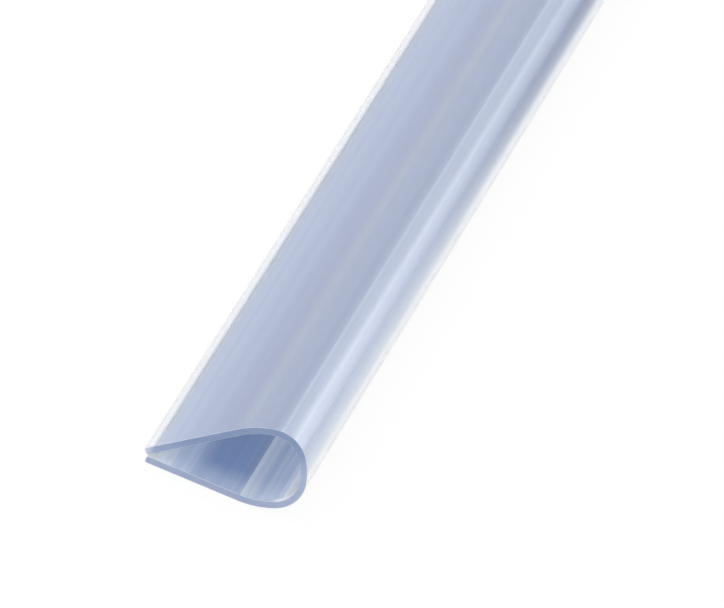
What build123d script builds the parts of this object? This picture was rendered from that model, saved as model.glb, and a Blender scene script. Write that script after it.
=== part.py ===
from build123d import *
from math import acos, atan2, cos, degrees, hypot, radians, sin
import os

# Clear PVC clip channel: one extruded strip of even wall, bent to a teardrop.
# Millimetres and degrees. The section is drawn with its lips to the left, its
# nose to the right at the zero point, and its middle plane level.
length = 1000.0
width = 15.0           # lip edges to nose
height = 7.84          # over both crowns
wall = 0.65
lip_gap = 0.04         # slit left between the lips, besides what their slant opens
lip_radius = 0.08      # worn edge of the lips
nose_radius = 6.55     # the flattened back of the bulb
nose_turn = 22.7       # angle that the flattened back takes up
crown_setback = 3.87   # nose to crown
haunch_radius = 8.37   # from the crown down into the straight flank

# Where the nose arc ends, in the upper half of the section.
nose_half = radians(nose_turn / 2)
nose_end_x = nose_radius * (cos(nose_half) - 1)
nose_end_y = nose_radius * sin(nose_half)

# The haunch is a circle that touches the crown height at the crown.
haunch_x = -crown_setback
haunch_y = height / 2 - haunch_radius

# The shoulder is the one arc that leaves the nose smoothly and meets the haunch smoothly.
to_nose_x = nose_end_x - haunch_x
to_nose_y = nose_end_y - haunch_y
along_nose = to_nose_x * cos(nose_half) + to_nose_y * sin(nose_half)
shoulder_radius = (haunch_radius**2 - to_nose_x**2 - to_nose_y**2) / (2 * (haunch_radius - along_nose))
shoulder_end = atan2(
    to_nose_y - shoulder_radius * sin(nose_half),
    to_nose_x - shoulder_radius * cos(nose_half),
)

# The flank is the straight line from the lip's outer corner that touches the haunch.
lip_y = wall + lip_gap / 2
to_lip_x = -width - haunch_x
to_lip_y = lip_y - haunch_y
flank_normal = atan2(to_lip_y, to_lip_x) - acos(haunch_radius / hypot(to_lip_x, to_lip_y))
flank_slant = degrees(flank_normal) - 90

with BuildSketch() as section:
    with BuildLine():
        nose = JernArc((0, 0), (0, 1), nose_radius, nose_turn / 2)
        shoulder = JernArc(nose @ 1, nose % 1, shoulder_radius, degrees(shoulder_end - nose_half))
        haunch = JernArc(shoulder @ 1, shoulder % 1, haunch_radius, degrees(flank_normal - shoulder_end))
        Line(haunch @ 1, (-width, lip_y))
        mirror(about=Plane.XZ)
        offset(amount=wall, side=Side.LEFT)
    make_face()
    fillet(section.vertices().group_by(Axis.X)[0] + section.vertices().group_by(Axis.X)[1], lip_radius)

# Lying on its lower flank, the origin below the middle of the piece.
footprint = section.sketch.rotate(Axis.Z, flank_slant).bounding_box()

with BuildPart() as clip_profile:
    with BuildSketch(Plane.XZ):
        with Locations((-footprint.center().X, -footprint.min.Y)):
            add(section.sketch, rotation=flank_slant)
    extrude(amount=length / 2, both=True)

clip_profile.part.label = "clip_profile"

os.makedirs("parts", exist_ok=True)
export_step(clip_profile.part, "parts/clip_profile.step")
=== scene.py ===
from math import acos, atan2, cos, hypot, pi, radians, sin

import bpy
from mathutils import Matrix, Vector


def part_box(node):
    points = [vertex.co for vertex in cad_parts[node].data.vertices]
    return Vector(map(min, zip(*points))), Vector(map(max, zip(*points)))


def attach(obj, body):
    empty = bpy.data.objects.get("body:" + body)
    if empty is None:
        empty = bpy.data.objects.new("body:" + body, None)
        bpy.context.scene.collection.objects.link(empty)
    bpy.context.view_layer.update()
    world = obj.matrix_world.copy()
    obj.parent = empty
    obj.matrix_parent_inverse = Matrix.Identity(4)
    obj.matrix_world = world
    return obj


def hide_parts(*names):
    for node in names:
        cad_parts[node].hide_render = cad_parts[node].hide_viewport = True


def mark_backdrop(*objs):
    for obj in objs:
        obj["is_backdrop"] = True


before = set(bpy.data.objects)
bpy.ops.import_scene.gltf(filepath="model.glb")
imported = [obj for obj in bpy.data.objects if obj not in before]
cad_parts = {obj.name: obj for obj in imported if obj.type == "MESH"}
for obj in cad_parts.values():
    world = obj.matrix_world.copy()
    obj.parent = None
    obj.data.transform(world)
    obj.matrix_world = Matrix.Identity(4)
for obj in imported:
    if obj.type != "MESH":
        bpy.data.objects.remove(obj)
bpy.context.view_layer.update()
near_corner, far_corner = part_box("clip_profile")

# Section of the profile, in metres and radians: lips to the left, nose to the right at the
# zero point, middle plane level.
WIDTH = 0.015
HEIGHT = 0.00784
WALL = 0.00065
LIP_GAP = 0.00004
LIP_RADIUS = 0.00008
NOSE_RADIUS = 0.00655
NOSE_TURN = radians(22.7)
CROWN_SETBACK = 0.00387
HAUNCH_RADIUS = 0.00837

# The extrusion: how finely it is drawn, and the marks that die and saw leave on it.
LENGTH = far_corner.y - near_corner.y
LENGTH_STEPS = 24
BEND_STEPS = 48
RING_SPACING = 0.00008
DIE_LINE_DEPTH = 0.000004
DIE_LINE_PITCH = 0.0009
DIE_LINE_SEED = 11.0
DIE_LINE_DETAIL = 3.0
EDGE_BREAK = 0.00003
CRISP_ANGLE = radians(28)

# Where each finish lies. The lips carry a painted highlight on a band that is LIP_BAND of the flank,
# and 1 + the fall below times narrower on the inside. The crease lies CREASE_OFFSET out from the
# centre of the haunch. The other values are what a face has to pass to get its finish.
LIP_BAND = 0.105
LIP_HIGHLIGHT_FALL = 10.0
CREASE_OFFSET = 0.00005
FLOOR_SHARE = 0.99
LIP_END_SHARE = 0.9995
EDGE_FACING = 0.2
SAWN_FACING = 0.95

# Camera: the piece is seen as if its middle plane were level. The nose of the cut end lies at
# NOSE_PIXEL of a picture of IMAGE_SIZE, where one metre across the view is PIXELS_PER_METRE.
IMAGE_SIZE = Vector((724.0, 608.0))
NOSE_PIXEL = Vector((307.4, 472.4))
PIXELS_PER_METRE = 11229.0
VIEW_AZIMUTH = radians(14.3)
VIEW_ELEVATION = radians(24.3)
VIEW_DISTANCE = 1.9
SENSOR_WIDTH = 36.0
NEAREST_SEEN = 0.05
FARTHEST_SEEN = 200.0

# Tints across the section, as (share, colour), from the bulb (0) over the flank to the lips (1). They
# hold painted light and shade besides the PVC's tint.
# The wall's tint, with painted shade: deeper on the flank than at the bulb, and white where the lips'
# painted highlight starts.
WALL_TINTS_AND_PAINTED_SHADE = (
    (0.0, (0.77, 0.83, 0.92)),
    (0.015, (0.63, 0.73, 0.91)),
    (0.35, (0.63, 0.73, 0.91)),
    (0.83, (0.68, 0.77, 0.95)),
    (0.895, (1.0, 1.0, 1.0)),
)
# A painted highlight: the pale band along the lips.
LIP_HIGHLIGHT_TINTS = (
    (0.895, (0.62, 0.70, 0.88)),
    (0.91, (0.75, 0.82, 0.95)),
    (0.93, (1.0, 1.0, 1.0)),
)
# Painted shade on the lower flank's inside: deep blue where it lies on the floor, turning to painted
# light towards the lips.
FLANK_FLOOR_PAINTED_SHADE_TINTS = (
    (0.0, (0.175, 0.30, 0.57)),
    (0.36, (0.185, 0.31, 0.58)),
    (0.65, (0.70, 0.80, 0.96)),
    (0.82, (0.97, 0.99, 1.0)),
)

# Tints round the bulb, as (share of BULB_TURN, colour), where the turn is an angle from level: a
# painted reflection, palest below the nose, and painted shade, deepest above it. Painted light makes
# them paler within BULB_END_DEPTH of the sawn ends.
BULB_TURN = (radians(-60), radians(75))
BULB_PAINTED_SHADE_AND_REFLECTION = (
    (0.0, (0.77, 0.83, 0.92)),
    (0.33, (1.0, 1.0, 1.0)),
    (0.41, (0.91, 0.94, 0.985)),
    (0.47, (0.78, 0.84, 0.95)),
    (0.57, (0.12, 0.20, 0.42)),
    (0.68, (0.12, 0.20, 0.42)),
    (0.82, (0.77, 0.83, 0.92)),
)
BULB_END_PAINTED_LIGHT_TINTS = (
    (0.0, (0.82, 0.87, 0.95)),
    (0.33, (1.0, 1.0, 1.0)),
    (0.41, (0.95, 0.97, 1.0)),
    (0.47, (0.89, 0.93, 0.99)),
    (0.57, (0.82, 0.88, 0.98)),
    (0.68, (0.82, 0.88, 0.98)),
    (0.82, (0.80, 0.86, 0.94)),
)
BULB_END_DEPTH = 0.13

# Painted light on the inside: paler close to the sawn ends and at the nose, and painted highlights
# beside the crease, on a line beside the nose, and on the rim of the cut at the nose.
# Painted light close to the sawn ends.
CUT_END_PAINTED_LIGHT = (0.90, 0.95, 1.0)
CUT_END_DEPTH = 0.0055
# Painted light at the nose.
NOSE_PAINTED_LIGHT = (0.92, 0.95, 1.0)
NOSE_DEPTH = 0.0028
# Painted highlight beside the crease.
CREASE_BAND = 0.0018
CREASE_HIGHLIGHT_SHARE = 0.4
# Painted highlight on a line beside the nose.
NOSE_LINE = 0.00157
NOSE_LINE_REACH = (0.00003, 0.0001)
NOSE_LINE_DEPTH = 0.011
NOSE_LINE_FADE = (0.0, 0.4)
NOSE_SIDE_HIGHLIGHT_SHARE = 0.6
# Painted highlight on the rim of the cut at the nose.
CUT_RIM_DEPTH = 0.0013
CUT_RIM_REACH = 0.0034
CUT_RIM_FADE = (0.1, 0.4)

# The sawn end: the heights off the middle plane between which its painted shade turns from the paler
# lower half to the deeper upper one, how far in from the lips the painted light on the upper lip's tip
# fades, and the relief of the saw marks.
SAWN_SHADE_TURN = (-0.0004, 0.0018)
LIP_TIP_REACH = (0.0004, 0.0009)
LIP_TIP_PAINTED_LIGHT = (0.80, 0.84, 0.92)
LIP_TIP_SHARE = 0.9
SAW_MARK_SCALE = (900.0, 900.0, 6000.0)
SAW_MARK_SPAN = (0.25, 0.75)
SAW_MARK_DEPTH = 0.00002

# Shared by the finishes. A streak shows over STREAK_SPAN of the noise that it is made from.
WHITE = (1.0, 1.0, 1.0)
PVC_IOR = 1.53
NOISE_ROUGHNESS = 0.6
STREAK_SPAN = (0.3, 0.7)

# Studio. Brightness 1 is white. A softbox is given as (name, place off the nose of the cut end,
# side, brightness), and the sky's levels as (height, level).
FLOOR_DROP = 0.00003
FLOOR_REACH = 30.0
FLOOR_WHITE_SEEN = 0.9
FLOOR_WHITE_REFLECTED = 0.9
FLOOR_WHITE_THROUGH = 0.15
SKY_LIGHT = 1.3
SKY_LEVELS = (
    (0.0, 0.65),
    (0.045, 0.82),
    (0.2, 0.93),
    (0.39, 1.0),
    (0.45, 1.25),
    (0.6, 1.25),
    (1.0, 0.55),
)
SKY_COLOUR = (0.995, 0.997, 1.01)
SOFTBOXES = (
    ("softbox_right", Vector((0.22, 0.5, 0.24)), 0.36, 1.45),
    ("softbox_low", Vector((0.26, 0.45, 0.1)), 0.2, 0.9),
)
SOFTBOX_COLOUR = (1.0, 0.97, 0.92)


# Nodes and objects

def plug(tree, socket, value):
    """Links another node's output to an input, or sets the input to a plain value."""
    if isinstance(value, bpy.types.NodeSocket):
        tree.links.new(value, socket)
    else:
        socket.default_value = value


def add_node(tree, kind, plugs=None, **settings):
    """Adds a node to a tree. plugs gives its inputs, each a plain value or another node's output."""
    made = tree.nodes.new(kind)
    for name, value in settings.items():
        setattr(made, name, value)
    for name, value in (plugs or {}).items():
        plug(tree, made.inputs[name], value)
    return made


def maths(tree, operation, *values):
    """The result of an operation on numbers."""
    made = add_node(tree, "ShaderNodeMath", dict(enumerate(values)), operation=operation)
    return made.outputs[0]


def vectors(tree, operation, *values):
    """The results of an operation on vectors: Vector, or Value where it gives a number."""
    return add_node(tree, "ShaderNodeVectorMath", dict(enumerate(values)), operation=operation).outputs


def scaled(tree, vector, factor):
    """The vector times a factor."""
    made = add_node(tree, "ShaderNodeVectorMath", {0: vector, "Scale": factor}, operation="SCALE")
    return made.outputs["Vector"]


def split(tree, vector):
    """X, Y and Z of a vector."""
    return add_node(tree, "ShaderNodeSeparateXYZ", {0: vector}).outputs


def ranged(tree, value, low, high, start, end, course="LINEAR"):
    """A number that goes from low to high as the value goes from start to end."""
    made = add_node(tree, "ShaderNodeMapRange", {
        "Value": value, "From Min": start, "From Max": end, "To Min": low, "To Max": high},
        interpolation_type=course)
    return made.outputs[0]


def new_object(name, data):
    """A new object in the scene."""
    made = bpy.data.objects.new(name, data)
    bpy.context.scene.collection.objects.link(made)
    return made


# Section

def flank_normal_angle():
    """Direction that the upper flank faces, from the tangent that runs from lip to haunch."""
    across = CROWN_SETBACK - WIDTH
    up = WALL + LIP_GAP / 2 - (HEIGHT / 2 - HAUNCH_RADIUS)
    return atan2(up, across) - acos(HAUNCH_RADIUS / hypot(across, up))


FLANK_NORMAL = flank_normal_angle()
FLANK_SLANT = FLANK_NORMAL - radians(90)


def laid_down(point):
    """A point of the section, turned round its zero point until the lower flank lies level."""
    return Matrix.Rotation(FLANK_SLANT, 2) @ point


def upper_bends():
    """The upper half's bends as (centre, outer radius, angle where it starts, where it ends)."""
    nose_half = NOSE_TURN / 2
    out_of_nose = Vector((cos(nose_half), sin(nose_half)))
    nose_centre = Vector((-NOSE_RADIUS, 0.0))
    haunch_centre = Vector((-CROWN_SETBACK, HEIGHT / 2 - HAUNCH_RADIUS))
    to_nose = nose_centre + NOSE_RADIUS * out_of_nose - haunch_centre
    shoulder_radius = (HAUNCH_RADIUS ** 2 - to_nose.length_squared) / (
        2 * (HAUNCH_RADIUS - to_nose.dot(out_of_nose)))
    shoulder_centre = haunch_centre + to_nose - shoulder_radius * out_of_nose
    leaning = shoulder_centre - haunch_centre
    shoulder_end = atan2(leaning.y, leaning.x)
    return [
        (nose_centre, NOSE_RADIUS, -nose_half, nose_half),
        (shoulder_centre, shoulder_radius, nose_half, shoulder_end),
        (haunch_centre, HAUNCH_RADIUS, shoulder_end, FLANK_NORMAL),
    ]


def section_corners():
    """The strip's closed outline before its corners are rounded, all the way round.

    Each corner is (place, radius, lip share, lip highlight mask, inner floor). The lip share is 1 at
    both lips. The lip highlight mask, which places the lips' painted highlight, is 1 at the upper lip,
    and ends close to it on the inside. The inner floor is 1 on the inner face of the lower half.
    """
    flank_out = Vector((cos(FLANK_NORMAL), sin(FLANK_NORMAL)))
    lip = Vector((-WIDTH, WALL + LIP_GAP / 2))
    rounds = []
    for inset in (0.0, WALL):
        upper = []
        for centre, radius, start, end in upper_bends():
            middle = (start + end) / 2
            reach = (radius - inset) / cos((end - start) / 2)
            place = centre + reach * Vector((cos(middle), sin(middle)))
            upper.append((place, radius - inset, 0.0, -LIP_HIGHLIGHT_FALL if inset else 0.0, 0.0))
        upper.append((lip - inset * flank_out, LIP_RADIUS, 1.0, 1.0, 0.0))
        lower = [
            (Vector((place.x, -place.y)), radius, share, -LIP_HIGHLIGHT_FALL, 1.0 if inset else 0.0)
            for place, radius, share, _, _ in reversed(upper[1:])]
        rounds.append(lower + upper)
    return rounds[0] + rounds[1][::-1]


def section_mesh():
    """The section's corners as a closed loop of edges, lying on the lower flank.

    Its height is drawn downwards, because the sweep turns that side of a section up. The loop runs
    the other way round for the same reason, so that the walls face outwards.
    """
    corners = section_corners()[::-1]
    points = [laid_down(corner[0]) for corner in corners]
    count = len(points)
    mesh = bpy.data.meshes.new("section")
    mesh.from_pydata(
        [(p.x, -p.y, 0.0) for p in points], [(i, (i + 1) % count) for i in range(count)], [])
    for place, name in enumerate(("bend_radius", "lip_share", "lip_highlight_mask", "inner_floor"), start=1):
        shares = mesh.attributes.new(name, "FLOAT", "POINT")
        shares.data.foreach_set("value", [corner[place] for corner in corners])
    return mesh


def crease_place():
    """Where the lower flank turns into the bulb on the inside, along X from the nose, as it lies."""
    haunch_centre = Vector((-CROWN_SETBACK, HAUNCH_RADIUS - HEIGHT / 2))
    return laid_down(haunch_centre).x + CREASE_OFFSET


def nose_of_cut_end():
    """The zero point of the section as it lies, at the near end."""
    lip = laid_down(Vector((-WIDTH, -WALL - LIP_GAP / 2)))
    shoulder_centre, shoulder_radius, _, _ = upper_bends()[1]
    along_floor = Vector((cos(FLANK_SLANT), sin(FLANK_SLANT)))
    bulb_reach = shoulder_centre.dot(along_floor) + shoulder_radius
    return Vector((far_corner.x - bulb_reach, near_corner.y, near_corner.z - lip.y))


near_nose = nose_of_cut_end()


# Extrusion

def stored(tree, name, data_type="FLOAT"):
    """What the points of the section carry under a name."""
    made = add_node(tree, "GeometryNodeInputNamedAttribute", {"Name": name}, data_type=data_type)
    return made.outputs[0]


def stepped_outline(tree, given):
    """The section's outline with its corners rounded, in even steps."""
    loop = add_node(tree, "GeometryNodeMeshToCurve", {"Mesh": given["Section"]})
    rounded = add_node(tree, "GeometryNodeFilletCurve", {
        "Curve": loop.outputs[0], "Count": given["Bend Steps"],
        "Radius": stored(tree, "bend_radius")}, mode="POLY")
    stepped = add_node(tree, "GeometryNodeResampleCurve", {
        "Curve": rounded.outputs[0], "Length": given["Ring Spacing"]}, mode="LENGTH")
    return stepped.outputs[0]


def with_die_lines(tree, given, outline):
    """The outline with a shallow wave in it, which the sweep draws out to lines along the length.

    Each of its points keeps the way out of the wall, under the name outward.
    """
    tangent = add_node(tree, "GeometryNodeInputTangent").outputs[0]
    outward = vectors(tree, "CROSS_PRODUCT", tangent, (0.0, 0.0, 1.0))["Vector"]
    place = add_node(tree, "GeometryNodeInputPosition").outputs[0]
    wave = add_node(tree, "ShaderNodeTexNoise", {
        "Vector": place, "W": given["Die Line Seed"],
        "Scale": maths(tree, "DIVIDE", 1.0, given["Die Line Pitch"]),
        "Detail": DIE_LINE_DETAIL, "Roughness": NOISE_ROUGHNESS}, noise_dimensions="4D")
    off_middle = maths(tree, "SUBTRACT", wave.outputs[0], 0.5)
    depth = maths(tree, "MULTIPLY", off_middle, given["Die Line Depth"])
    lined = add_node(tree, "GeometryNodeSetPosition", {
        "Geometry": outline, "Offset": scaled(tree, outward, depth)})
    kept = add_node(tree, "GeometryNodeStoreNamedAttribute", {
        "Geometry": lined.outputs[0], "Name": "outward", "Value": outward},
        data_type="FLOAT_VECTOR", domain="POINT")
    return kept.outputs[0]


def length_run(tree, given):
    """The line along the length: even steps, and one more close to each sawn end."""
    half = maths(tree, "MULTIPLY", given["Length"], 0.5)
    other_half = maths(tree, "MULTIPLY", half, -1.0)
    inner = maths(tree, "SUBTRACT", half, given["Edge Break"])
    # The even steps have one point more than steps, and each sawn end adds one.
    points = maths(tree, "ADD", given["Length Steps"], 3.0)
    run = add_node(tree, "GeometryNodeMeshLine", {"Count": points}, mode="OFFSET")
    index = add_node(tree, "GeometryNodeInputIndex").outputs[0]
    step = maths(tree, "DIVIDE", maths(tree, "MULTIPLY", inner, 2.0), given["Length Steps"])
    from_inner = maths(tree, "MULTIPLY", maths(tree, "SUBTRACT", index, 1.0), step)
    along = maths(tree, "SUBTRACT", from_inner, inner)
    held = maths(tree, "MINIMUM", maths(tree, "MAXIMUM", along, other_half), half)
    spot = add_node(tree, "ShaderNodeCombineXYZ", {"Y": held}).outputs[0]
    placed = add_node(tree, "GeometryNodeSetPosition", {"Geometry": run.outputs[0], "Position": spot})
    path = add_node(tree, "GeometryNodeMeshToCurve", {"Mesh": placed.outputs[0]})
    upright = add_node(tree, "GeometryNodeSetCurveNormal", {"Curve": path.outputs[0]}, mode="Z_UP")
    return upright.outputs[0]


def with_broken_edges(tree, given, swept):
    """The swept wall with the edges of its sawn ends broken a little all round."""
    half = maths(tree, "MULTIPLY", given["Length"], 0.5)
    half_break = maths(tree, "MULTIPLY", given["Edge Break"], 0.5)
    place = split(tree, add_node(tree, "GeometryNodeInputPosition").outputs[0])
    off_middle = maths(tree, "ABSOLUTE", place["Y"])
    at_end = maths(tree, "GREATER_THAN", off_middle, maths(tree, "SUBTRACT", half, half_break))
    out = split(tree, stored(tree, "outward", "FLOAT_VECTOR"))
    up = maths(tree, "MULTIPLY", out["Y"], -1.0)
    turned_up = add_node(tree, "ShaderNodeCombineXYZ", {"X": out["X"], "Z": up}).outputs[0]
    inwards = scaled(tree, turned_up, maths(tree, "MULTIPLY", given["Edge Break"], -1.0))
    broken = add_node(tree, "GeometryNodeSetPosition", {
        "Geometry": swept, "Selection": at_end, "Offset": inwards})
    return broken.outputs[0]


def with_finishes(tree, given, solid):
    """The solid with smooth walls, crisp edges at the ends, and a finish for each kind of face."""
    def past(measure, least):
        return maths(tree, "GREATER_THAN", measure, least)

    angle = add_node(tree, "GeometryNodeInputMeshEdgeAngle").outputs[0]
    smooth = add_node(tree, "GeometryNodeSetShadeSmooth", {"Geometry": solid}, domain="FACE")
    finished = add_node(tree, "GeometryNodeSetShadeSmooth", {
        "Geometry": smooth.outputs[0], "Selection": past(angle, given["Crisp Angle"]),
        "Shade Smooth": False}, domain="EDGE")
    inner_floor = stored(tree, "inner_floor")
    to_lips = stored(tree, "lip_share")
    place = split(tree, add_node(tree, "GeometryNodeInputPosition").outputs[0])
    off_flank = maths(tree, "SUBTRACT", inner_floor, to_lips)
    bulb_floor = maths(tree, "MULTIPLY", off_flank, past(place["X"], given["Crease"]))
    normal = split(tree, add_node(tree, "GeometryNodeInputNormal").outputs[0])
    facing_end = maths(tree, "ABSOLUTE", normal["Y"])
    band = maths(tree, "SUBTRACT", 1.0, given["Lip Band"])
    # The lips get a painted highlight, the lower flank's inside painted shade, and the bulb's floor
    # painted light, which starts at the crease.
    for finish, where in (
        ("Wall Finish", True),
        ("Flank Floor Painted Shade", past(inner_floor, FLOOR_SHARE)),
        ("Bulb Floor Painted Light", past(bulb_floor, FLOOR_SHARE)),
        ("Lip Painted Highlight", past(stored(tree, "lip_highlight_mask"), band)),
        ("Lip Painted Highlight", past(to_lips, LIP_END_SHARE)),
        ("Edge Finish", past(facing_end, EDGE_FACING)),
        ("Sawn Finish", past(facing_end, SAWN_FACING)),
    ):
        finished = add_node(tree, "GeometryNodeSetMaterial", {
            "Geometry": finished.outputs[0], "Selection": where, "Material": given[finish]})
    for name in ("outward", "bend_radius", "lip_highlight_mask", "inner_floor"):
        finished = add_node(tree, "GeometryNodeRemoveAttribute", {
            "Geometry": finished.outputs[0], "Name": name})
    return finished.outputs[0]


def extrusion_tree():
    """Geometry Nodes that round the section's corners, draw die lines into it and extrude it."""
    tree = bpy.data.node_groups.new("clip_extrusion", "GeometryNodeTree")
    inputs = {
        "Geometry": ("Section",),
        "Float": (
            "Length", "Ring Spacing", "Die Line Depth", "Die Line Pitch", "Die Line Seed",
            "Edge Break", "Crisp Angle", "Crease", "Lip Band"),
        "Int": ("Length Steps", "Bend Steps"),
        "Material": (
            "Wall Finish", "Flank Floor Painted Shade", "Bulb Floor Painted Light", "Lip Painted Highlight", "Edge Finish",
            "Sawn Finish"),
    }
    for kind, names in inputs.items():
        for name in names:
            tree.interface.new_socket(name, in_out="INPUT", socket_type="NodeSocket" + kind)
    tree.interface.new_socket("Extrusion", in_out="OUTPUT", socket_type="NodeSocketGeometry")
    given = add_node(tree, "NodeGroupInput").outputs
    outline = with_die_lines(tree, given, stepped_outline(tree, given))
    swept = add_node(tree, "GeometryNodeCurveToMesh", {
        "Curve": length_run(tree, given), "Profile Curve": outline, "Fill Caps": True})
    solid = with_broken_edges(tree, given, swept.outputs[0])
    finished = with_finishes(tree, given, solid)
    whole = add_node(tree, "GeometryNodeRealizeInstances", {"Geometry": finished})
    add_node(tree, "NodeGroupOutput", {"Extrusion": whole.outputs[0]})
    return tree


def extruded_profile(finishes):
    """The clear profile as one plain mesh, lying where the frame's solid lies."""
    tree = extrusion_tree()
    drawn = new_object("section_drawn", section_mesh())
    modifier = drawn.modifiers.new("extrusion", "NODES")
    modifier.node_group = tree
    inputs = {
        "Length": LENGTH,
        "Length Steps": LENGTH_STEPS,
        "Bend Steps": BEND_STEPS,
        "Ring Spacing": RING_SPACING,
        "Die Line Depth": DIE_LINE_DEPTH,
        "Die Line Pitch": DIE_LINE_PITCH,
        "Die Line Seed": DIE_LINE_SEED,
        "Edge Break": EDGE_BREAK,
        "Crisp Angle": CRISP_ANGLE,
        "Crease": crease_place(),
        "Lip Band": LIP_BAND,
        **finishes,
    }
    for socket in tree.interface.items_tree:
        if socket.name in inputs:
            modifier[socket.identifier] = inputs[socket.name]
    graph = bpy.context.evaluated_depsgraph_get()
    mesh = bpy.data.meshes.new_from_object(drawn.evaluated_get(graph), depsgraph=graph)
    bpy.data.objects.remove(drawn)
    mesh.name = "clear_clip_profile"
    low = Vector([min(v.co[i] for v in mesh.vertices) for i in range(3)])
    high = Vector([max(v.co[i] for v in mesh.vertices) for i in range(3)])
    shift = (near_corner + far_corner) / 2 - (low + high) / 2
    mesh.transform(Matrix.Translation((shift.x, shift.y, near_corner.z - low.z)))
    return new_object("clear_clip_profile", mesh)


# Finishes

def new_finish(name):
    """A new finish, its nodes and its shader."""
    finish = bpy.data.materials.new(name)
    finish.use_nodes = True
    tree = finish.node_tree
    tree.nodes.clear()
    surface = add_node(tree, "ShaderNodeBsdfPrincipled")
    add_node(tree, "ShaderNodeOutputMaterial", {"Surface": surface.outputs[0]})
    return finish, tree, surface


def set_pvc(tree, surface, colour, roughness, transmission):
    """Makes the shader PVC. Each of its looks is a plain value or a node's output."""
    looks = {
        "Base Color": colour,
        "Roughness": roughness,
        "Transmission Weight": transmission,
        "IOR": PVC_IOR,
    }
    for name, value in looks.items():
        plug(tree, surface.inputs[name], value)


def spot_on_piece(tree):
    """The place on the piece."""
    return add_node(tree, "ShaderNodeTexCoord").outputs["Object"]


def marks(tree, scale, detail):
    """Noise on the piece, with so many waves to the metre along X, Y and Z."""
    drawn_out = add_node(tree, "ShaderNodeMapping", {"Vector": spot_on_piece(tree), "Scale": scale})
    made = add_node(tree, "ShaderNodeTexNoise", {
        "Vector": drawn_out.outputs[0], "Scale": 1.0, "Detail": detail,
        "Roughness": NOISE_ROUGHNESS})
    return made.outputs[0]


def length_streaks(tree, across, along, detail=2.0):
    """Noise drawn out along the length, as the die leaves it, with so many waves to the metre."""
    return marks(tree, (across, along, across), detail)


def through_tints(tree, value, tints, course="EASE"):
    """A colour that goes through the tints, each given as (value, colour)."""
    ramp = add_node(tree, "ShaderNodeValToRGB", {"Fac": value})
    ramp.color_ramp.interpolation = course
    stops = ramp.color_ramp.elements
    while len(stops) < len(tints):
        stops.new(1.0)
    for stop, (place, colour) in zip(stops, tints):
        stop.position = place
        stop.color = (*colour, 1.0)
    return ramp.outputs[0]


def graded(tree, value, low, high, span=STREAK_SPAN):
    """A colour that goes from low to high over a span of the value."""
    start, end = span
    return through_tints(tree, value, ((start, low), (end, high)))


def roughened(tree, streaks, least, most):
    """A roughness that goes with the streaks."""
    return ranged(tree, streaks, least, most, *STREAK_SPAN)


def blended(tree, share, tint, other, way="MIX"):
    """The tint, turned into the other one by the share."""
    made = add_node(
        tree, "ShaderNodeMix", {0: share, 6: tint, 7: other}, data_type="RGBA", blend_type=way)
    return made.outputs[2]


def paled(tree, share, tint, colour):
    """The tint, turned into a plain colour by the share."""
    return blended(tree, share, tint, (*colour, 1.0))


def streaked(tree, tint, streaks, deepest):
    """The tint, deeper along some of the streaks."""
    return blended(tree, 1.0, tint, graded(tree, streaks, deepest, WHITE), "MULTIPLY")


def lip_share(tree):
    """The share of the way from the bulb (0) over the flank to the lips (1)."""
    return add_node(tree, "ShaderNodeAttribute", attribute_name="lip_share").outputs["Fac"]


def across_flank(tree, tints):
    """A colour that goes through the tints from the bulb to the lips."""
    return through_tints(tree, lip_share(tree), tints)


def near_cut_end(tree, depth, most=1.0):
    """A share that rises to most at the sawn ends, over the given depth."""
    off_middle = maths(tree, "ABSOLUTE", split(tree, spot_on_piece(tree))["Y"])
    return ranged(tree, off_middle, 0.0, most, LENGTH / 2 - depth, LENGTH / 2, "SMOOTHERSTEP")


def near_nose_side(tree, depth):
    """A share that rises to 1 at the nose, over the given depth."""
    out = split(tree, spot_on_piece(tree))["X"]
    return ranged(tree, out, 0.0, 1.0, far_corner.x - depth, far_corner.x, "SMOOTHSTEP")


def bulb_painted_shade_and_light(tree, tint):
    """The tint, in which the bulb takes painted shade, reflection and light from the angle round its
    middle and the nearness of the sawn ends.
    """
    shoulder_centre, _, _, _ = upper_bends()[1]
    middle = laid_down(shoulder_centre)
    place = split(tree, spot_on_piece(tree))
    up = maths(tree, "SUBTRACT", place["Z"], near_nose.z + middle.y)
    out = maths(tree, "SUBTRACT", place["X"], near_nose.x + middle.x)
    angle = maths(tree, "ARCTAN2", up, out)
    low, high = BULB_TURN
    turn = ranged(tree, angle, 0.0, 1.0, low, high)
    along = through_tints(tree, turn, BULB_PAINTED_SHADE_AND_REFLECTION)
    at_end = through_tints(tree, turn, BULB_END_PAINTED_LIGHT_TINTS)
    colour = blended(tree, near_cut_end(tree, BULB_END_DEPTH), along, at_end)
    on_bulb = maths(tree, "COMPARE", angle, (low + high) / 2, (high - low) / 2)
    return blended(tree, on_bulb, tint, colour)


def crease_painted_highlight(tree, tint):
    """The tint, with a painted highlight towards the crease where the lower flank turns into the bulb.
    """
    crease = near_nose.x + crease_place()
    out = split(tree, spot_on_piece(tree))["X"]
    share = ranged(tree, out, CREASE_HIGHLIGHT_SHARE, 0.0, crease, crease + CREASE_BAND, "SMOOTHSTEP")
    return paled(tree, share, tint, NOSE_PAINTED_LIGHT)


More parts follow.
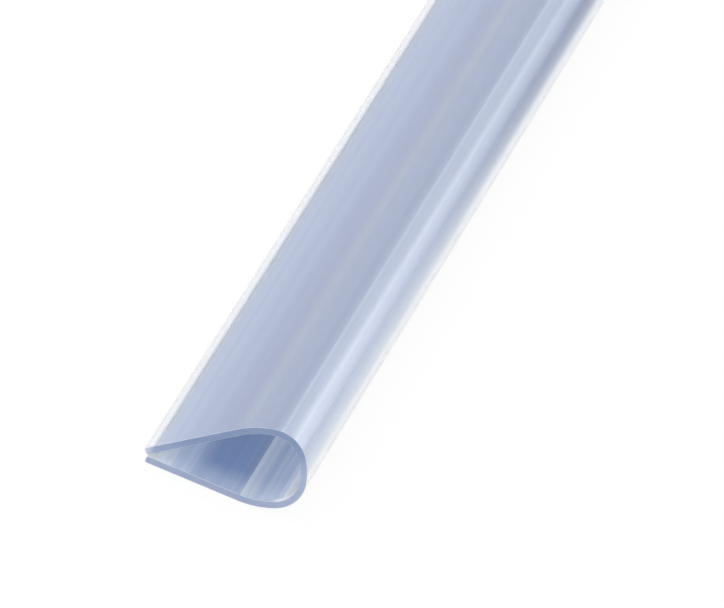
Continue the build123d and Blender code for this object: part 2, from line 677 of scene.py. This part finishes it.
def nose_line_painted_highlight(tree):
    """A share for the painted highlight beside the nose, close to the sawn ends.

    It is 1 on a thin line along the bulb's floor, and lower from there to the nose.
    """
    out = split(tree, spot_on_piece(tree))["X"]
    off_line = maths(tree, "SUBTRACT", out, far_corner.x - NOSE_LINE)
    past = ranged(tree, off_line, 0.0, NOSE_SIDE_HIGHLIGHT_SHARE, *NOSE_LINE_REACH)
    line = ranged(tree, maths(tree, "ABSOLUTE", off_line), 1.0, 0.0, *NOSE_LINE_REACH)
    near_end = ranged(tree, near_cut_end(tree, NOSE_LINE_DEPTH), 0.0, 1.0, *NOSE_LINE_FADE)
    return maths(tree, "MULTIPLY", maths(tree, "MAXIMUM", line, past), near_end)


def cut_rim_painted_highlight(tree):
    """A share for the painted highlight on the rim of the cut, on the nose side."""
    at_end = near_cut_end(tree, CUT_RIM_DEPTH)
    rim = maths(tree, "MULTIPLY", at_end, near_nose_side(tree, CUT_RIM_REACH))
    return ranged(tree, rim, 0.0, 1.0, *CUT_RIM_FADE)


def clear_pvc_wall():
    """Clear rigid PVC with a faint blue tint and fine lines along the extrusion.

    On the flank the tint is strongest where it starts, and gone at the lips, which is partly painted
    shade. Round the bulb it carries painted shade, deepest on the shoulder above the nose, a painted
    reflection, palest below the nose, and painted light, paler towards the sawn ends.
    """
    finish, tree, surface = new_finish("clear_pvc_wall")
    streaks = length_streaks(tree, across=1100.0, along=3.0, detail=3.0)
    tint = bulb_painted_shade_and_light(tree, across_flank(tree, WALL_TINTS_AND_PAINTED_SHADE))
    set_pvc(
        tree, surface,
        colour=streaked(tree, tint, streaks, deepest=(0.82, 0.86, 0.94)),
        roughness=roughened(tree, streaks, least=0.02, most=0.06),
        transmission=1.0)
    surface.inputs["Coat Weight"].default_value = 0.5
    return finish


def hazed_flank_painted_shade():
    """The lower flank on the inside, lightly hazed by the mandrel.

    Its tint is painted shade, with painted light that makes it paler towards the lips and the sawn
    ends. It is hazier towards the lips.
    """
    finish, tree, surface = new_finish("hazed_flank_painted_shade")
    streaks = length_streaks(tree, across=1300.0, along=3.0)
    at_end = near_cut_end(tree, CUT_END_DEPTH, most=0.48)
    tint = paled(tree, at_end, across_flank(tree, FLANK_FLOOR_PAINTED_SHADE_TINTS), CUT_END_PAINTED_LIGHT)
    set_pvc(
        tree, surface,
        colour=streaked(tree, tint, streaks, deepest=(0.76, 0.81, 0.90)),
        roughness=roughened(tree, streaks, least=0.03, most=0.1),
        transmission=ranged(tree, lip_share(tree), low=0.5, high=0.15, start=0.7, end=0.85))
    return finish


def streaked_bulb_painted_light():
    """The bulb's floor on the inside, where the mandrel has left hazy streaks along the length, with
    painted light: paler near the sawn ends, at the crease and at the nose, and painted highlights
    beside the nose and on the rim of the cut.
    """
    finish, tree, surface = new_finish("streaked_bulb_painted_light")
    streaks = length_streaks(tree, across=2100.0, along=2.0)
    tint = graded(
        tree, streaks, low=(0.36, 0.46, 0.69), high=(0.60, 0.68, 0.84), span=(0.33, 0.67))
    tint = paled(tree, near_cut_end(tree, CUT_END_DEPTH, most=0.35), tint, CUT_END_PAINTED_LIGHT)
    tint = crease_painted_highlight(tree, tint)
    tint = paled(tree, near_nose_side(tree, NOSE_DEPTH), tint, NOSE_PAINTED_LIGHT)
    # The share of the painted highlights, which whiten the tint and make the floor matt there.
    pale = maths(tree, "MAXIMUM", cut_rim_painted_highlight(tree), nose_line_painted_highlight(tree))
    set_pvc(
        tree, surface,
        colour=paled(tree, pale, tint, WHITE),
        roughness=roughened(tree, streaks, least=0.05, most=0.16),
        transmission=ranged(tree, pale, low=0.45, high=0.05, start=0.0, end=1.0))
    return finish


def lip_painted_highlight():
    """The lips as a pale band, a painted highlight along them."""
    finish, tree, surface = new_finish("lip_painted_highlight")
    streaks = length_streaks(tree, across=3000.0, along=4.0)
    tint = across_flank(tree, LIP_HIGHLIGHT_TINTS)
    set_pvc(
        tree, surface,
        colour=streaked(tree, tint, streaks, deepest=(0.95, 0.96, 0.98)),
        roughness=roughened(tree, streaks, least=0.1, most=0.3),
        transmission=0.45)
    return finish


def scraped_pvc_edge():
    """The broken edge of the saw cut, paled by the scraper."""
    finish, tree, surface = new_finish("scraped_pvc_edge")
    nicks = length_streaks(tree, across=5000.0, along=5000.0)
    set_pvc(
        tree, surface,
        colour=graded(tree, nicks, low=(0.62, 0.68, 0.80), high=(0.78, 0.82, 0.90)),
        roughness=0.4,
        transmission=0.3)
    return finish


def sawn_pvc_end():
    """The same PVC where the saw has left it matt, with painted shade that makes the upper half deeper
    than the lower, and painted light that makes the upper lip's tip pale.
    """
    finish, tree, surface = new_finish("sawn_pvc_end")
    saw_marks = marks(tree, SAW_MARK_SCALE, detail=3.0)
    # Painted shade: the upper half's colour is deeper, the lower half's paler.
    upper = graded(
        tree, saw_marks, low=(0.178, 0.257, 0.435), high=(0.225, 0.303, 0.475), span=SAW_MARK_SPAN)
    lower = graded(
        tree, saw_marks, low=(0.33, 0.395, 0.56), high=(0.375, 0.44, 0.605), span=SAW_MARK_SPAN)
    spot = spot_on_piece(tree)
    up = Vector((-sin(FLANK_SLANT), 0.0, cos(FLANK_SLANT)))
    out = Vector((cos(FLANK_SLANT), 0.0, sin(FLANK_SLANT)))
    middle = near_nose.dot(up)
    lips = near_nose.dot(out) - WIDTH
    turn_start, turn_end = SAWN_SHADE_TURN
    tip_start, tip_end = LIP_TIP_REACH
    height = vectors(tree, "DOT_PRODUCT", spot, up)["Value"]
    upper_painted_shade_share = ranged(tree, height, 0.0, 1.0, middle + turn_start, middle + turn_end)
    reach = vectors(tree, "DOT_PRODUCT", spot, out)["Value"]
    on_tip = ranged(tree, reach, LIP_TIP_SHARE, 0.0, lips + tip_start, lips + tip_end)
    lip_tip_painted_light_share = maths(tree, "MULTIPLY", on_tip, upper_painted_shade_share)
    set_pvc(
        tree, surface,
        colour=paled(tree, lip_tip_painted_light_share, blended(tree, upper_painted_shade_share, lower, upper), LIP_TIP_PAINTED_LIGHT),
        roughness=0.45,
        transmission=0.2)
    relief = add_node(tree, "ShaderNodeBump", {
        "Height": saw_marks, "Strength": 0.2, "Distance": SAW_MARK_DEPTH})
    plug(tree, surface.inputs["Normal"], relief.outputs[0])
    return finish


# Studio

def pale_floor():
    """A matt white floor.

    In shade it keeps most of its white to the eye and in reflections, and a little through the
    walls.
    """
    finish, tree, surface = new_finish("pale_floor")
    surface.inputs["Base Color"].default_value = (0.95, 0.95, 0.95, 1.0)
    surface.inputs["Roughness"].default_value = 0.9
    surface.inputs["Specular IOR Level"].default_value = 0.0
    path = add_node(tree, "ShaderNodeLightPath").outputs
    white = add_node(tree, "ShaderNodeEmission", {"Strength": 1.0}).outputs[0]
    in_gloss = ranged(
        tree, path["Is Transmission Ray"], FLOOR_WHITE_REFLECTED, FLOOR_WHITE_THROUGH, 0.0, 1.0)
    glossy = maths(tree, "MULTIPLY", path["Is Glossy Ray"], in_gloss)
    share = maths(tree, "MULTIPLY_ADD", path["Is Camera Ray"], FLOOR_WHITE_SEEN, glossy)
    shown = add_node(tree, "ShaderNodeMixShader", {0: share, 1: surface.outputs[0], 2: white})
    plug(tree, tree.nodes["Material Output"].inputs["Surface"], shown.outputs[0])
    reach = FLOOR_REACH
    level = near_corner.z - FLOOR_DROP
    mesh = bpy.data.meshes.new("floor")
    mesh.from_pydata(
        [(-reach, -reach, level), (reach, -reach, level), (reach, reach, level),
         (-reach, reach, level)],
        [], [(0, 1, 2, 3)])
    mesh.materials.append(finish)
    floor = new_object("floor", mesh)
    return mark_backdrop(floor)


def studio_sky():
    """Soft light from all round, weaker overhead. The eye sees it plain white."""
    world = bpy.data.worlds.new("studio")
    world.use_nodes = True
    tree = world.node_tree
    background = tree.nodes["Background"].inputs
    height = split(tree, add_node(tree, "ShaderNodeTexCoord").outputs["Generated"])["Z"]
    greys = [(place, (level, level, level)) for place, level in SKY_LEVELS]
    light = maths(tree, "MULTIPLY", through_tints(tree, height, greys, "LINEAR"), SKY_LIGHT)
    eye = add_node(tree, "ShaderNodeLightPath").outputs["Is Camera Ray"]
    strength = add_node(tree, "ShaderNodeMix", {0: eye, 2: light, 3: 1.0}).outputs[0]
    plug(tree, background["Strength"], strength)
    plug(tree, background["Color"], blended(tree, eye, (*SKY_COLOUR, 1.0), (*WHITE, 1.0)))
    bpy.context.scene.world = world


def softbox(name, place, side, brightness):
    """A square lamp that faces the nose of the cut end, and fades from its middle to its edges."""
    lamp = bpy.data.lights.new(name, "AREA")
    lamp.shape = "RECTANGLE"
    lamp.size = side
    lamp.size_y = side
    lamp.energy = brightness * pi * side * side
    lamp.color = SOFTBOX_COLOUR
    lamp.use_nodes = True
    tree = lamp.node_tree
    # Places on the lamp run from 0 to 1 across it.
    spot = add_node(tree, "ShaderNodeNewGeometry").outputs["Parametric"]
    off_centre = vectors(tree, "DISTANCE", spot, (0.5, 0.5, 0.0))["Value"]
    fall = ranged(tree, off_centre, low=1.0, high=0.0, start=0.0, end=0.5, course="SMOOTHSTEP")
    plug(tree, tree.nodes["Emission"].inputs["Strength"], fall)
    facing = (near_nose - place).to_track_quat("-Z", "Y")
    box = new_object(name, lamp)
    box.matrix_world = Matrix.Translation(place) @ facing.to_matrix().to_4x4()
    box.visible_camera = False


def photo_camera():
    """Camera at the photograph's angle, with the nose of the cut end at NOSE_PIXEL."""
    sin_turn = sin(VIEW_AZIMUTH)
    cos_turn = cos(VIEW_AZIMUTH)
    sin_rise = sin(VIEW_ELEVATION)
    cos_rise = cos(VIEW_ELEVATION)
    level = Matrix((
        (cos_turn, -sin_turn * sin_rise, sin_turn * cos_rise),
        (sin_turn, cos_turn * sin_rise, -cos_turn * cos_rise),
        (0.0, cos_rise, sin_rise),
    ))
    turned = Matrix.Rotation(-FLANK_SLANT, 3, "Y") @ level
    right, up, back = turned.transposed()
    off_centre = (NOSE_PIXEL - IMAGE_SIZE / 2) / PIXELS_PER_METRE
    place = near_nose + VIEW_DISTANCE * back - off_centre.x * right + off_centre.y * up
    lens = bpy.data.cameras.new("camera")
    lens.sensor_width = SENSOR_WIDTH
    lens.lens = SENSOR_WIDTH * PIXELS_PER_METRE * VIEW_DISTANCE / IMAGE_SIZE.x
    lens.clip_start = NEAREST_SEEN
    lens.clip_end = FARTHEST_SEEN
    camera = new_object("camera", lens)
    camera.matrix_world = Matrix.Translation(place) @ turned.to_4x4()
    bpy.context.scene.camera = camera


profile = extruded_profile({
    "Wall Finish": clear_pvc_wall(),
    "Flank Floor Painted Shade": hazed_flank_painted_shade(),
    "Bulb Floor Painted Light": streaked_bulb_painted_light(),
    "Lip Painted Highlight": lip_painted_highlight(),
    "Edge Finish": scraped_pvc_edge(),
    "Sawn Finish": sawn_pvc_end(),
})
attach(profile, "root")
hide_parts("clip_profile")
pale_floor()
studio_sky()
for name, off_nose, side, brightness in SOFTBOXES:
    softbox(name, near_nose + off_nose, side, brightness)
photo_camera()
bpy.context.scene.view_settings.view_transform = "Standard"
